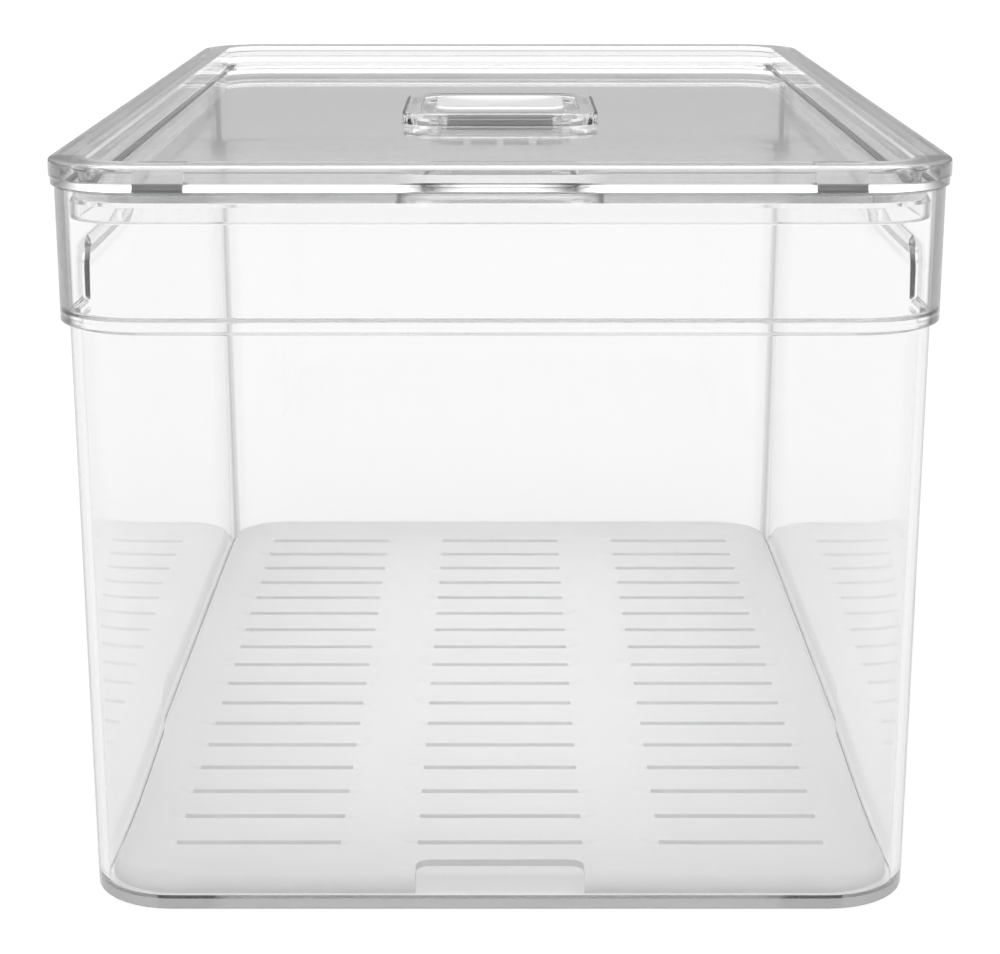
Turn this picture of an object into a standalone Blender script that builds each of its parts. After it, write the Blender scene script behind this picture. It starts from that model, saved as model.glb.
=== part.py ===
"""Vented fridge storage bin: clear body, lift-off lid with a pull-up vent, and a drain tray.

Metres, +Z up, origin at the centre of the base. The front is -Y.
"""
import math

import bmesh
import bpy

# ---- driving dimensions (metres) -------------------------------------------------------------
GAP = 0.0003                             # clearance left between pieces that touch
EASE, EASE_FINE = 0.0006, 0.0004         # edge breaks left by the mould
BITE = 0.0005                            # how far a joined block runs into the wall it joins
REACH = 0.0010                           # how far a cutter runs past the faces that it opens
CORNER_SEGS = 7                          # facets in each quarter corner
SMALL_SEGS = 5                           # the same on the vent's pieces and the louvres' ends

# body
BASE_HX, BASE_HY = 0.1020, 0.1670        # half size of the base
BODY_HX, BODY_HY = 0.1027, 0.1686        # half size of the wall just below the shoulder
BAND_HX, BAND_HY = 0.1046, 0.1710        # half size of the proud top band
BODY_R = 0.0210                          # plan corner radius
WALL = 0.0025
FLOOR = 0.0030
FOOT_EASE = 0.0008                       # edge break round the base and inside the floor
SHOULDER_Z = 0.1454                      # underside of the proud band
INNER_SHOULDER_Z = 0.1486
BIN_TOP = 0.1778
GRIP_HALF, GRIP_TOP, GRIP_R = 0.1365, 0.1590, 0.0050   # hand grips pressed into the side band
GRIP_EDGE = 0.0004                       # run-out at each end of a grip

# lid
LID_HX, LID_HY, LID_R = 0.1055, 0.1720, 0.0200
LID_Z0, LID_TOP = BIN_TOP + GAP, 0.1842
LID_STEP_Z, LIP_SET = 0.1801, 0.0003     # the lip below this line is set in a little
LID_WALL = 0.0020
RIM_W = 0.0088                           # width of the rim's flat top
PANEL_TOP, PANEL_T = 0.1770, 0.0024
SKIRT_OUT, SKIRT_T, SKIRT_Z, SKIRT_R = 0.0043, 0.0022, 0.1702, 0.0178
SCOOP_HALF, SCOOP_FLAT, SCOOP_DEEP = 0.0250, 0.0160, 0.0012
LUG_X, LUG_W, LUG_INSET = 0.0770, 0.0135, 0.0008
CRUSH_PITCH, CRUSH_HALF = 0.0044, 0.0005                 # ribs on the front of the skirt
CRUSH_RISE, CRUSH_FOOT = 0.0004, 0.0010  # how far they stand out, and start above its foot

# vent
DECK_HX, DECK_HY, DECK_R = 0.0280, 0.0300, 0.0110
DECK_TOP, DECK_T, DECK_WALL = 0.1805, 0.0038, 0.0018
CUP_H, CUP_WALL, CUP_R, CUP_Z0 = 0.02125, 0.0018, 0.0070, 0.1685
FLANGE_H, FLANGE_R, FLANGE_TOP, FLANGE_T = 0.0224, 0.0082, 0.1795, 0.0010
CUP_FLOOR_TOP, CUP_FLOOR_T = 0.1720, 0.0011
PORT_H, PORT_R = 0.0130, 0.0030          # air port through the cup's floor
VENT_SLOT_W, VENT_SLOT_PITCH = 0.0022, 0.0094
KNOB_HX, KNOB_HY, KNOB_R = 0.0186, 0.0182, 0.0062
KNOB_TOP, KNOB_Z0 = 0.1811, 0.1782
DISH_HX, DISH_HY, DISH_R, DISH_DEEP = 0.0110, 0.0106, 0.0040, 0.0006
PLUNGER_H, PLUNGER_R, PLUNGER_Z0 = 0.0159, 0.0045, 0.1738
CHEST_H, CHEST_R, CHEST_Z0, CHEST_TOP = 0.0139, 0.0035, 0.1758, 0.1785  # hollow of the plunger
SPIGOT_H, SPIGOT_R, SPIGOT_Z0 = 0.0138, 0.0035, 0.1726
BORE_H, BORE_R, BORE_TOP = 0.0120, 0.0025, 0.1744                        # hollow of the spigot
SEAL_T, SEAL_R = 0.0012, 0.0038

# drain tray
TRAY_TOP, TRAY_T = 0.0074, 0.0018
TRAY_HX, TRAY_HY = 0.0965, 0.1588        # half size of the flat top
TRAY_FOOT_HX, TRAY_FOOT_HY = 0.0982, 0.1637
TRAY_R = 0.0180
TRAY_WALL, TRAY_END_WALL = 0.0016, 0.0030                # rolled edge at the sides and the ends
TRAY_ROLL, TRAY_END_ROLL = 0.0010, 0.0024                # how far it bulges past the flat top
TRAY_RIB_HALF, TRAY_RIB_Y = 0.0008, 0.1400
COLS, COL_PITCH = 3, 0.0616
ROWS, ROW_PITCH = 17, 0.0172
SLOT_HALF, SLOT_W = 0.0210, 0.0012
LOUVRE_R, LOUVRE_RISE = 0.0056, 0.0006
NOTCH_HALF, NOTCH_DEEP, NOTCH_R = 0.0210, 0.0062, 0.0035
NOTCH_SEGS = 4

CLEAR, WHITE = (0.93, 0.95, 0.96), (0.95, 0.96, 0.97)


# ---- mesh helpers ----------------------------------------------------------------------------
def clear_scene():
    for ob in list(bpy.data.objects):
        bpy.data.objects.remove(ob, do_unlink=True)


def arc_points(cx, cy, r, start, sweep, segs):
    """Points of an arc about (cx, cy), both ends included; the angles are in degrees."""
    turns = [math.radians(start + sweep * k / segs) for k in range(segs + 1)]
    return [(cx + r * math.cos(a), cy + r * math.sin(a)) for a in turns]


def plan_ring(hx, hy, r, z, segs=CORNER_SEGS, side=()):
    """Rounded rectangle at height z, anticlockwise from the front right corner.

    side holds (y, inset) pairs, low y first, that are added to the two long sides.
    """
    pts = arc_points(hx - r, r - hy, r, -90, 90, segs)
    pts += [(hx - inset, y) for y, inset in side]
    pts += arc_points(hx - r, hy - r, r, 0, 90, segs)
    pts += arc_points(r - hx, hy - r, r, 90, 90, segs)
    pts += [(inset - hx, -y) for y, inset in side]
    pts += arc_points(r - hx, r - hy, r, 180, 90, segs)
    return [(x, y, z) for x, y in pts]


def small_ring(hx, r, z, hy=None):
    """Rounded square, or rectangle, of the vent's pieces."""
    return plan_ring(hx, hy or hx, r, z, segs=SMALL_SEGS)


def loft(bm, rings, closed=False, capped=True):
    """Skin a chain of equal-length rings and return them as vertices."""
    loops = [[bm.verts.new(p) for p in ring] for ring in rings]
    pairs = list(zip(loops, loops[1:]))
    if closed:
        pairs.append((loops[-1], loops[0]))
    count = len(loops[0])
    for a, b in pairs:
        for i in range(count):
            j = (i + 1) % count
            bm.faces.new((a[i], a[j], b[j], b[i]))
    if capped and not closed:
        bm.faces.new(list(reversed(loops[0])))
        bm.faces.new(loops[-1])
    return loops


def prism(bm, outline, z0, z1):
    """Closed prism over an anticlockwise plan outline."""
    loft(bm, [[(x, y, z) for x, y in outline] for z in (z0, z1)])


def block(bm, x0, x1, y0, y1, z0, z1):
    """Plain closed box; each pair of ends may come in either order."""
    (x0, x1), (y0, y1) = sorted((x0, x1)), sorted((y0, y1))
    prism(bm, [(x0, y0), (x1, y0), (x1, y1), (x0, y1)], z0, z1)


def finish(bm, name, mat=None):
    """Triangulate, turn the faces outward and make the object."""
    bmesh.ops.triangulate(bm, faces=bm.faces[:])
    bmesh.ops.recalc_face_normals(bm, faces=bm.faces[:])
    mesh = bpy.data.meshes.new(name)
    bm.to_mesh(mesh)
    bm.free()
    ob = bpy.data.objects.new(name, mesh)
    bpy.context.collection.objects.link(ob)
    if mat:
        mesh.materials.append(mat)
    return ob


def combine(target, bm, operation):
    """Join or cut a block mesh with the exact solver, and keep only the result."""
    tool = finish(bm, target.name + '_tool')
    mod = target.modifiers.new(operation, 'BOOLEAN')
    mod.operation, mod.solver, mod.object = operation, 'EXACT', tool
    bpy.context.view_layer.update()
    graph = bpy.context.evaluated_depsgraph_get()
    mesh = bpy.data.meshes.new_from_object(target.evaluated_get(graph))
    target.modifiers.clear()
    target.data = mesh
    mesh.name = target.name
    bpy.data.objects.remove(tool, do_unlink=True)


def material(name, colour, roughness, alpha):
    mat = bpy.data.materials.new(name)
    mat.use_nodes = True
    bsdf = mat.node_tree.nodes['Principled BSDF']
    bsdf.inputs['Base Color'].default_value = (*colour, 1.0)
    bsdf.inputs['Roughness'].default_value = roughness
    bsdf.inputs['Alpha'].default_value = alpha
    mat.diffuse_color = (*colour, alpha)
    return mat


# ---- bin body --------------------------------------------------------------------------------
def grip_ring(z, hx, hy, r, press, grow=0.0):
    """Ring of the wall, pressed in over the side grip; grow widens the grip for the inside."""
    half, top, corner = GRIP_HALF + grow, GRIP_TOP + grow, GRIP_R + grow
    over = min(corner, max(0.0, z - (top - corner)))
    reach = half - corner + math.sqrt(corner ** 2 - over ** 2)
    side = ((-reach - GRIP_EDGE, 0.0), (-reach, press), (reach, press), (reach + GRIP_EDGE, 0.0))
    return plan_ring(hx, hy, r, z, side=side)


def make_bin_body(mat):
    step = BAND_HX - BODY_HX
    fine = EASE_FINE
    inner = BODY_R - WALL
    in_hx, in_hy = BAND_HX - WALL, BAND_HY - WALL
    base_hx, base_hy = BASE_HX - WALL, BASE_HY - WALL
    plain_z = GRIP_TOP + GRIP_EDGE
    # outside, bottom to top
    rings = [grip_ring(0.0, BASE_HX - FOOT_EASE, BASE_HY - FOOT_EASE, BODY_R - FOOT_EASE, 0.0),
             grip_ring(FOOT_EASE, BASE_HX, BASE_HY, BODY_R, 0.0),
             grip_ring(SHOULDER_Z - EASE, BODY_HX, BODY_HY, BODY_R, 0.0)]
    for z in (SHOULDER_Z, GRIP_TOP - GRIP_R, GRIP_TOP - GRIP_R / 2, GRIP_TOP - GRIP_R / 5, GRIP_TOP):
        rings.append(grip_ring(z, BAND_HX, BAND_HY, BODY_R, step))
    rings += [grip_ring(plain_z, BAND_HX, BAND_HY, BODY_R, 0.0),
              grip_ring(BIN_TOP - fine, BAND_HX, BAND_HY, BODY_R, 0.0),
              grip_ring(BIN_TOP, BAND_HX - fine, BAND_HY - fine, BODY_R - fine, 0.0),
              # inside, top to bottom
              grip_ring(BIN_TOP, in_hx + fine, in_hy + fine, inner + fine, 0.0),
              grip_ring(BIN_TOP - fine, in_hx, in_hy, inner, 0.0),
              grip_ring(plain_z + WALL, in_hx, in_hy, inner, 0.0, WALL)]
    top, corner = GRIP_TOP + WALL, GRIP_R + WALL
    for z in (top, top - corner / 6, top - corner / 2, top - corner, INNER_SHOULDER_Z):
        rings.append(grip_ring(z, in_hx, in_hy, inner, step, WALL))
    rings += [grip_ring(INNER_SHOULDER_Z - EASE, BODY_HX - WALL, BODY_HY - WALL, inner, 0.0, WALL),
              grip_ring(FLOOR + FOOT_EASE, base_hx, base_hy, inner, 0.0),
              grip_ring(FLOOR, base_hx - fine, base_hy - fine, inner - fine, 0.0)]
    bm = bmesh.new()
    loft(bm, rings)
    return finish(bm, 'bin_body', mat)


# ---- lid -------------------------------------------------------------------------------------
def lid_ring(inset, z, r=None):
    return plan_ring(LID_HX - inset, LID_HY - inset, r or LID_R - inset, z)


def make_lid(mat):
    hole, seat, seat_r = CUP_H + GAP, FLANGE_H + GAP, FLANGE_R + GAP
    seat_z = FLANGE_TOP - FLANGE_T - GAP
    skirt_in = SKIRT_OUT + SKIRT_T
    under, deck_under = PANEL_TOP - PANEL_T, DECK_TOP - DECK_T
    in_hx, in_hy, in_r = DECK_HX - DECK_WALL, DECK_HY - DECK_WALL, DECK_R - DECK_WALL
    bm = bmesh.new()
    loft(bm, [
        # seat of the vent cup, deck and panel
        plan_ring(hole, hole, CUP_R + GAP, deck_under),
        plan_ring(hole, hole, CUP_R + GAP, seat_z),
        plan_ring(seat, seat, seat_r, seat_z),
        plan_ring(seat, seat, seat_r, DECK_TOP),
        plan_ring(DECK_HX - EASE, DECK_HY - EASE, DECK_R - EASE, DECK_TOP),
        plan_ring(DECK_HX, DECK_HY, DECK_R, DECK_TOP - EASE),
        plan_ring(DECK_HX + GAP, DECK_HY + GAP, DECK_R + GAP, PANEL_TOP),
        # rim, lip, channel and skirt
        lid_ring(RIM_W, PANEL_TOP), lid_ring(RIM_W, LID_TOP - EASE), lid_ring(RIM_W - EASE, LID_TOP),
        lid_ring(EASE, LID_TOP), lid_ring(0.0, LID_TOP - EASE), lid_ring(0.0, LID_STEP_Z),
        lid_ring(LIP_SET, LID_STEP_Z - LIP_SET), lid_ring(LIP_SET, LID_Z0), lid_ring(LID_WALL, LID_Z0),
        lid_ring(LID_WALL, LID_TOP - LID_WALL), lid_ring(SKIRT_OUT, LID_TOP - LID_WALL, SKIRT_R),
        lid_ring(SKIRT_OUT, SKIRT_Z + EASE_FINE, SKIRT_R),
        lid_ring(SKIRT_OUT + EASE_FINE, SKIRT_Z, SKIRT_R - EASE_FINE),
        lid_ring(skirt_in, SKIRT_Z, SKIRT_R - SKIRT_T), lid_ring(skirt_in, under, SKIRT_R - SKIRT_T),
        # underside, back to the seat
        plan_ring(in_hx, in_hy, in_r, under), plan_ring(in_hx, in_hy, in_r, deck_under),
    ], closed=True)
    lid = finish(bm, 'lid', mat)

    # front locating lugs bridge the rim's channel; crush ribs below them steady the lid
    lugs, ribs = bmesh.new(), bmesh.new()
    lip_y, skirt_y = LID_WALL - LID_HY, SKIRT_OUT - LID_HY
    for x in (-LUG_X, LUG_X):
        block(lugs, x - LUG_W / 2, x + LUG_W / 2, lip_y - BITE, skirt_y + LUG_INSET,
              LID_Z0, LID_TOP - LID_WALL + BITE)
        for k in range(-2, 3):
            rib = x + k * CRUSH_PITCH
            block(ribs, rib - CRUSH_HALF, rib + CRUSH_HALF, skirt_y - CRUSH_RISE, skirt_y + BITE,
                  SKIRT_Z + CRUSH_FOOT, LID_Z0 + BITE)
    combine(lid, lugs, 'UNION')
    combine(lid, ribs, 'UNION')

    # shallow finger scoop in the front lip
    scoop = bmesh.new()
    out, lip = -LID_HY - REACH, LIP_SET - LID_HY
    deep = lip + SCOOP_DEEP
    prism(scoop, [(-SCOOP_HALF, out), (SCOOP_HALF, out), (SCOOP_HALF, lip), (SCOOP_FLAT, deep),
                  (-SCOOP_FLAT, deep), (-SCOOP_HALF, lip)], LID_Z0 - REACH, LID_STEP_Z + GAP)
    combine(lid, scoop, 'DIFFERENCE')
    return lid


# ---- vent ------------------------------------------------------------------------------------
def make_vent_cup(mat):
    inner, inner_r = CUP_H - CUP_WALL, CUP_R - CUP_WALL
    under, flange_z0 = CUP_FLOOR_TOP - CUP_FLOOR_T, FLANGE_TOP - FLANGE_T
    bm = bmesh.new()
    loft(bm, [
        small_ring(PORT_H, PORT_R, under), small_ring(PORT_H, PORT_R, CUP_FLOOR_TOP),
        small_ring(inner, inner_r, CUP_FLOOR_TOP), small_ring(inner, inner_r, FLANGE_TOP),
        small_ring(FLANGE_H - EASE_FINE, FLANGE_R - EASE_FINE, FLANGE_TOP),
        small_ring(FLANGE_H, FLANGE_R, FLANGE_TOP - EASE_FINE), small_ring(FLANGE_H, FLANGE_R, flange_z0),
        small_ring(CUP_H, CUP_R, flange_z0), small_ring(CUP_H, CUP_R, CUP_Z0 + 3 * EASE),
        small_ring(CUP_H - EASE, CUP_R - EASE, CUP_Z0 + EASE),
        small_ring(CUP_H - 2 * EASE, CUP_R - 2 * EASE, CUP_Z0),
        small_ring(inner - 2 * EASE, inner_r, CUP_Z0), small_ring(inner - 2 * EASE, inner_r, under),
    ], closed=True)
    cup = finish(bm, 'vent_cup', mat)

    # air slots notched up from the foot of all four walls
    far = CUP_H + REACH
    for along_y in (True, False):
        slots = bmesh.new()
        for k in (-1, 0, 1):
            low, high = k * VENT_SLOT_PITCH - VENT_SLOT_W / 2, k * VENT_SLOT_PITCH + VENT_SLOT_W / 2
            span = (low, high, -far, far) if along_y else (-far, far, low, high)
            block(slots, *span, CUP_Z0 - REACH, under - GAP)
        combine(cup, slots, 'DIFFERENCE')
    return cup


def make_vent_knob(mat):
    bm = bmesh.new()
    rings = [small_ring(DISH_HX, DISH_R, KNOB_TOP - DISH_DEEP, DISH_HY)]
    # rolled edge of the dished top, as (inset, drop) pairs
    for inset, drop in ((5 * EASE, DISH_DEEP / 2), (3 * EASE, 0.0), (EASE, GAP), (0.0, 1.5 * EASE)):
        rings.append(small_ring(KNOB_HX - inset, KNOB_R - inset / 2, KNOB_TOP - drop, KNOB_HY - inset))
    rings += [
        small_ring(KNOB_HX, KNOB_R, KNOB_Z0, KNOB_HY),
        small_ring(PLUNGER_H, PLUNGER_R, KNOB_Z0), small_ring(PLUNGER_H, PLUNGER_R, PLUNGER_Z0),
        small_ring(SPIGOT_H, SPIGOT_R, PLUNGER_Z0), small_ring(SPIGOT_H, SPIGOT_R, SPIGOT_Z0),
        # inside, open at the bottom
        small_ring(BORE_H, BORE_R, SPIGOT_Z0), small_ring(BORE_H, BORE_R, BORE_TOP),
        small_ring(CHEST_H, CHEST_R, CHEST_Z0), small_ring(CHEST_H, CHEST_R, CHEST_TOP),
    ]
    loft(bm, rings)
    return finish(bm, 'vent_knob', mat)


def make_vent_seal(mat):
    z0 = CUP_FLOOR_TOP + GAP
    z1 = z0 + SEAL_T
    bore, edge_r = SPIGOT_H + GAP, PLUNGER_R - GAP
    bm = bmesh.new()
    loft(bm, [small_ring(bore, SEAL_R, z0), small_ring(bore, SEAL_R, z1),
              small_ring(PLUNGER_H - GAP, edge_r, z1), small_ring(PLUNGER_H, PLUNGER_R, (z0 + z1) / 2),
              small_ring(PLUNGER_H - GAP, edge_r, z0)], closed=True)
    return finish(bm, 'vent_seal', mat)


# ---- drain tray ------------------------------------------------------------------------------
def fill_plane(bm, loops, up):
    """Fill the flat area between an outer loop and the loops of its holes."""
    edges = []
    for loop in loops:
        for a, b in zip(loop, loop[1:] + loop[:1]):
            edges.append(bm.edges.get((a, b)) or bm.edges.new((a, b)))
    bmesh.ops.triangle_fill(bm, edges=edges, use_beauty=True, use_dissolve=False, normal=(0, 0, up))


def add_louvre(bm, cx, cy):
    """One louvre and its slot; returns its outline on the top face and its slot on the underside."""
    underside = TRAY_TOP - TRAY_T
    front, lip = cy - LOUVRE_R, cy - LOUVRE_R + SLOT_W
    ends = []
    for s in (1, -1):
        arc = [bm.verts.new((cx + s * (SLOT_HALF + x), cy + y, TRAY_TOP))
               for x, y in arc_points(0.0, 0.0, LOUVRE_R, -90, 180, SMALL_SEGS)]
        corners = ((lip, TRAY_TOP + LOUVRE_RISE), (lip, underside), (front, underside))
        peak, back, foot = [bm.verts.new((cx + s * SLOT_HALF, y, z)) for y, z in corners]
        for a, b in zip(arc, arc[1:]):
            bm.faces.new((peak, a, b)[::s])
        bm.faces.new((arc[0], peak, back, foot)[::s])
        ends.append((arc, peak, back, foot))
    (arc_r, peak_r, back_r, foot_r), (arc_l, peak_l, back_l, foot_l) = ends
    bm.faces.new((peak_l, peak_r, arc_r[-1], arc_l[-1]))
    bm.faces.new((peak_l, back_l, back_r, peak_r))
    bm.faces.new((arc_l[0], arc_r[0], foot_r, foot_l))
    return arc_r + arc_l[::-1], [foot_l, foot_r, back_r, back_l]


def make_drain_tray(mat):
    bm = bmesh.new()
    under, foot = TRAY_TOP - TRAY_T, FLOOR + GAP
    wall = TRAY_WALL
    loops = loft(bm, [
        plan_ring(TRAY_HX - wall, TRAY_HY - wall, TRAY_R - 2 * wall, under),
        plan_ring(TRAY_HX, TRAY_FOOT_HY - TRAY_END_WALL, TRAY_R - wall, under - TRAY_ROLL),
        plan_ring(TRAY_FOOT_HX - wall, TRAY_FOOT_HY - wall, TRAY_R - wall, foot),
        plan_ring(TRAY_FOOT_HX, TRAY_FOOT_HY, TRAY_R, foot),
        # rolled edge, up to the flat top
        plan_ring(TRAY_FOOT_HX - GAP, TRAY_FOOT_HY - EASE, TRAY_R, foot + TRAY_T),
        plan_ring(TRAY_HX + TRAY_ROLL, TRAY_HY + TRAY_END_ROLL, TRAY_R - EASE, TRAY_TOP - EASE),
        plan_ring(TRAY_HX, TRAY_HY, TRAY_R - wall, TRAY_TOP),
    ], capped=False)
    tops, slots = [], []
    for col in range(COLS):
        for row in range(ROWS):
            outline, slot = add_louvre(bm, (col - (COLS - 1) / 2) * COL_PITCH,
                                       (row - (ROWS - 1) / 2) * ROW_PITCH)
            tops.append(outline)
            slots.append(slot)
    fill_plane(bm, [loops[-1]] + tops, 1)
    fill_plane(bm, [loops[0]] + slots, -1)
    tray = finish(bm, 'drain_tray', mat)

    # two ribs under the plate carry it on the floor between the columns of slots
    ribs = bmesh.new()
    for x in (-COL_PITCH / 2, COL_PITCH / 2):
        block(ribs, x - TRAY_RIB_HALF, x + TRAY_RIB_HALF, -TRAY_RIB_Y, TRAY_RIB_Y, foot, under + BITE)
    combine(tray, ribs, 'UNION')

    # finger notch through the front edge
    notch = bmesh.new()
    out, back = -TRAY_FOOT_HY - REACH, NOTCH_DEEP - TRAY_HY - NOTCH_R
    outline = [(-NOTCH_HALF, out), (NOTCH_HALF, out)]
    outline += arc_points(NOTCH_HALF - NOTCH_R, back, NOTCH_R, 0, 90, NOTCH_SEGS)
    outline += arc_points(NOTCH_R - NOTCH_HALF, back, NOTCH_R, 90, 90, NOTCH_SEGS)
    prism(notch, outline, foot - REACH, TRAY_TOP + REACH)
    combine(tray, notch, 'DIFFERENCE')
    return tray


def main():
    clear_scene()
    make_bin_body(material('bin_clear', CLEAR, 0.06, 0.30))
    make_lid(material('lid_clear', CLEAR, 0.06, 0.32))
    make_vent_cup(material('vent_clear', CLEAR, 0.08, 0.40))
    make_vent_knob(material('knob_clear', WHITE, 0.10, 0.60))
    make_vent_seal(material('seal_silicone', (0.90, 0.91, 0.92), 0.55, 0.85))
    make_drain_tray(material('tray_frosted', (0.92, 0.93, 0.94), 0.30, 0.75))


main()
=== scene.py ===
import math

import bmesh
import bpy
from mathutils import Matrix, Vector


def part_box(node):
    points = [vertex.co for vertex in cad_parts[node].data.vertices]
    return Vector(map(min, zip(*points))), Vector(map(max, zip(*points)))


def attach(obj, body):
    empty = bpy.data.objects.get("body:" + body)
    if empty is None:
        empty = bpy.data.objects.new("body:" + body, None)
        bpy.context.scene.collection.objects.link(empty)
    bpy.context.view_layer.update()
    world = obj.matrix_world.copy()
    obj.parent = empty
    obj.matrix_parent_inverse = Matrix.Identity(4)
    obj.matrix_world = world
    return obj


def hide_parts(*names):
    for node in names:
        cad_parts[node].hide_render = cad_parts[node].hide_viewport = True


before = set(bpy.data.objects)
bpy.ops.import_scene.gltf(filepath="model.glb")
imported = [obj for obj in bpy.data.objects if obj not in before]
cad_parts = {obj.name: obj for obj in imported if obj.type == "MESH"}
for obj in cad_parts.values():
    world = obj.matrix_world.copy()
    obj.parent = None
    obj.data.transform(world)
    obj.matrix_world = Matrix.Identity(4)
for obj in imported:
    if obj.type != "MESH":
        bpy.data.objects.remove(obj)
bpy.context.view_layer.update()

# ---- driving sizes, in metres: model.glb gives each node's box, the rest are moulding details ----
MM = 0.001
LID_LOW, LID_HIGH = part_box("lid")
BIN_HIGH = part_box("bin_body")[1]
TRAY_LOW, TRAY_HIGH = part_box("drain_tray")
CUP_LOW, CUP_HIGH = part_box("vent_cup")
KNOB_LOW, KNOB_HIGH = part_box("vent_knob")
SEAL_LOW, SEAL_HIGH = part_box("vent_seal")

ARC = 10                                   # facets in each quarter corner seen from above
EASE = 4                                   # facets in each small fillet
SMOOTH = 32                                # degrees up to which neighbouring faces shade as one
GAP = 0.3 * MM                             # clearance between pieces that fit into each other

# body: the wall is drawn as an offset from the base, which grows more along Y than along X
WALL, FLOOR = 2.5 * MM, 3.0 * MM
BAND_HX, BAND_HY = BIN_HIGH[0], BIN_HIGH[1]
BODY_HX, BODY_HY = BAND_HX - 1.9 * MM, BAND_HY - 2.4 * MM
BASE_HX, BASE_HY = BODY_HX - 0.7 * MM, BODY_HY - 1.6 * MM
BODY_R, CAP_IN = 21.0 * MM, 12.0 * MM       # CAP_IN: where the flat base and floor are closed
BIN_TOP = BIN_HIGH[2]
SHOULDER_Z, INNER_SHOULDER_Z = 145.4 * MM, 148.6 * MM
GRIP_HALF, GRIP_TOP, GRIP_R = 136.5 * MM, 159.0 * MM, 5.0 * MM
GRIP_STEPS = (-4.5, -3.0, -1.6, -0.8, -0.3, 0.3, 0.8)      # rings round the grip's top edge, in mm

# lid
LID_HX, LID_HY, LID_R = LID_HIGH[0], LID_HIGH[1], 20.0 * MM
LID_Z0, LID_TOP = BIN_TOP + GAP, LID_HIGH[2]
LID_STEP_Z, LID_WALL, RIM_W = 180.1 * MM, 2.0 * MM, 8.8 * MM
PANEL_TOP, PANEL_T = 177.0 * MM, 2.4 * MM
SKIRT_OUT, SKIRT_T, SKIRT_Z, SKIRT_R = 4.3 * MM, 2.2 * MM, LID_LOW[2], 17.8 * MM
LIP_SET, LIP_WALL, LIP_BEVEL_Z = 0.35 * MM, 2.7 * MM, LID_Z0 + 1.75 * MM
SCOOP_HALF, SCOOP_DEEP = 25.0 * MM, 1.2 * MM
LUG_X, LUG_W = 77.7 * MM, 11.6 * MM
CRUSH_PITCH, CRUSH_HALF = 4.4 * MM, 0.5 * MM
LEAD_IN, LEAD_Z = 2.2 * MM, 174.2 * MM

# vent
DECK_HX, DECK_HY, DECK_TOP, DECK_T = 28.0 * MM, 30.0 * MM, 180.5 * MM, 3.8 * MM
CUP_H, CUP_WALL, CUP_R = 21.25 * MM, 1.8 * MM, 7.0 * MM
CUP_FLANGE_H, CUP_FLANGE_T = CUP_HIGH[0], 1.0 * MM
CUP_FLOOR_TOP, CUP_FLOOR_T, PORT_H = 172.0 * MM, 1.1 * MM, 13.0 * MM
VENT_SLOT_W, VENT_SLOT_PITCH = 2.2 * MM, 9.4 * MM
KNOB_Z0, PLUNGER_H, PLUNGER_Z0, SPIGOT_H = 178.2 * MM, 15.9 * MM, 173.8 * MM, 13.8 * MM

# drain tray
TRAY_TOP, TRAY_T = 7.4 * MM, 1.8 * MM
TRAY_HX, TRAY_HY, TRAY_R = 96.5 * MM, 158.8 * MM, 18.0 * MM
COLS, COL_PITCH, ROWS, ROW_PITCH = 3, 61.6 * MM, 17, 17.2 * MM
SLOT_HALF, SLOT_W, LOUVRE_R = 21.0 * MM, 1.2 * MM, 5.6 * MM
LOUVRE_RISE = TRAY_HIGH[2] - TRAY_TOP
NOTCH_HALF, NOTCH_DEEP = 21.0 * MM, 6.2 * MM
RIB_HALF_W, RIB_HALF_L = 0.8 * MM, 140 * MM
EDGE_STEPS = 8

# painted shade by place: the grey levels painted where the clear plastic's edges look darker, and how
# cloudy two of those places are
FLOOR_EDGE_PAINTED_SHADE, BIN_RIM_PAINTED_SHADE = 0.50, 0.45
LIP_END_PAINTED_SHADE, RIM_FOOT_PAINTED_SHADE, DECK_EDGE_PAINTED_SHADE = 0.25, 0.08, 0.02
FLOOR_EDGE_CLOUD, DECK_EDGE_CLOUD = 0.7, 0.85
RAMP_PER_M = 10.0                          # a ramp over the lid's half width ends at 0.1 m

# camera: its place in lid widths, its tilt in degrees and its lens in millimetres
CAMERA_BACK, CAMERA_UP, CAMERA_TILT, CAMERA_LENS = 3.379, 1.204, 14.74, 86.4


# ---- mesh helpers ----------------------------------------------------------------------------
def arc_points(cx, cy, r, a0, a1, n):
    """Points of an arc about (cx, cy) from a0 to a1 degrees, both ends included."""
    turns = [math.radians(a0 + (a1 - a0) * k / n) for k in range(n + 1)]
    return [(cx + r * math.cos(a), cy + r * math.sin(a)) for a in turns]


def plan_ring(hx, hy, r, z, segs=ARC, side=(), end=(), front=None):
    """Rounded rectangle at height z, anticlockwise from the front right corner.

    side holds (y, inset) for the two long sides, end holds (share of width, inset) for the back,
    and for the front too unless front is given, so that every ring of a loft has as many points.
    """
    flat = hx - r
    pts = [(x, y, z) for x, y in arc_points(hx - r, r - hy, r, -90, 0, segs)]
    pts += [(hx - inset, y, z) for y, inset in side]
    pts += [(x, y, z) for x, y in arc_points(hx - r, hy - r, r, 0, 90, segs)]
    pts += [(-flat * u, hy - inset, z) for u, inset in end]
    pts += [(x, y, z) for x, y in arc_points(r - hx, hy - r, r, 90, 180, segs)]
    pts += [(inset - hx, -y, z) for y, inset in side]
    pts += [(x, y, z) for x, y in arc_points(r - hx, r - hy, r, 180, 270, segs)]
    pts += [(flat * u, inset - hy, z) for u, inset in front or end]
    return pts


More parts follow.
